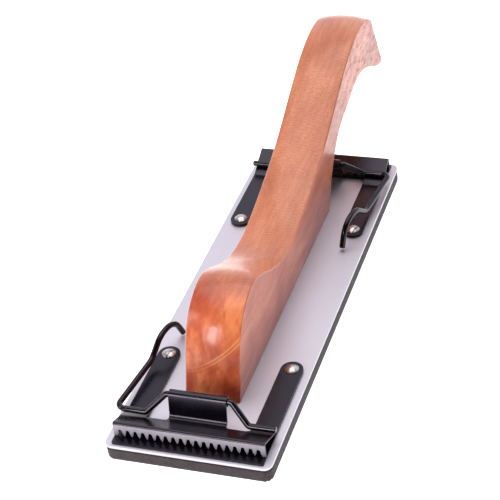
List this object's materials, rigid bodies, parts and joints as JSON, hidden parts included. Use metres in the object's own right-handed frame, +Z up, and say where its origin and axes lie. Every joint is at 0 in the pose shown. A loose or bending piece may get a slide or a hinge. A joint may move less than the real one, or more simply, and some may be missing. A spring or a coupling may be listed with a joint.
{
  "type": "hand sanding block",
  "caption": "Long hand sander: foam-faced aluminium plate, wooden handle with a front knob and an overhanging rear grip, and a toothed spring clip with a wire lever at each end.",
  "frame": {"origin": "centre of the foam's flat sanding face", "axes": "+Z up, away from the work; +Y lengthwise from the knob end to the overhanging grip; +X to the right when looking along +Y"},
  "size_m": [0.0814, 0.3137, 0.0735],
  "materials": {
    "plate": "satin",
    "foam": "matte",
    "wood": "gloss",
    "sheet_black": "satin",
    "wire_black": "gloss",
    "rivet_nickel": "polished",
    "screw_steel": "satin"
  },
  "bodies": {
    "sander": {"base_plate": "plate", "foam_pad": "foam", "handle": "wood", "front_handle_screw": "screw_steel", "middle_handle_screw": "screw_steel", "rear_handle_screw": "screw_steel", "front_clip_base": "sheet_black", "front_left_leg": "sheet_black", "front_right_leg": "sheet_black", "front_left_rivet": "rivet_nickel", "front_right_rivet": "rivet_nickel", "rear_clip_base": "sheet_black", "rear_left_leg": "sheet_black", "rear_right_leg": "sheet_black", "rear_left_rivet": "rivet_nickel", "rear_right_rivet": "rivet_nickel"},
    "front_jaw": {"front_jaw": "sheet_black"},
    "front_lever": {"front_lever": "wire_black"},
    "rear_jaw": {"rear_jaw": "sheet_black"},
    "rear_lever": {"rear_lever": "wire_black"}
  },
  "joints": [
    {"name": "front_jaw_lift", "type": "hinge", "parent": "sander", "child": "front_jaw", "pos_m": [0, -0.097, 0.00985], "axis": [-1, 0, 0], "range_deg": [0, 10]},
    {"name": "front_lever_turn", "type": "hinge", "parent": "front_jaw", "child": "front_lever", "pos_m": [0, -0.0959, 0.0225], "axis": [1, 0, 0], "range_deg": [0, 100]},
    {"name": "rear_jaw_lift", "type": "hinge", "parent": "sander", "child": "rear_jaw", "pos_m": [0, 0.097, 0.00985], "axis": [1, 0, 0], "range_deg": [0, 10]},
    {"name": "rear_lever_turn", "type": "hinge", "parent": "rear_jaw", "child": "rear_lever", "pos_m": [0, 0.0959, 0.0225], "axis": [-1, 0, 0], "range_deg": [0, 100]}
  ],
  "couplings": [
    {"joint": "front_jaw_lift", "follows": "front_lever_turn", "ratio": 0.1},
    {"joint": "rear_jaw_lift", "follows": "rear_lever_turn", "ratio": 0.1}
  ]
}
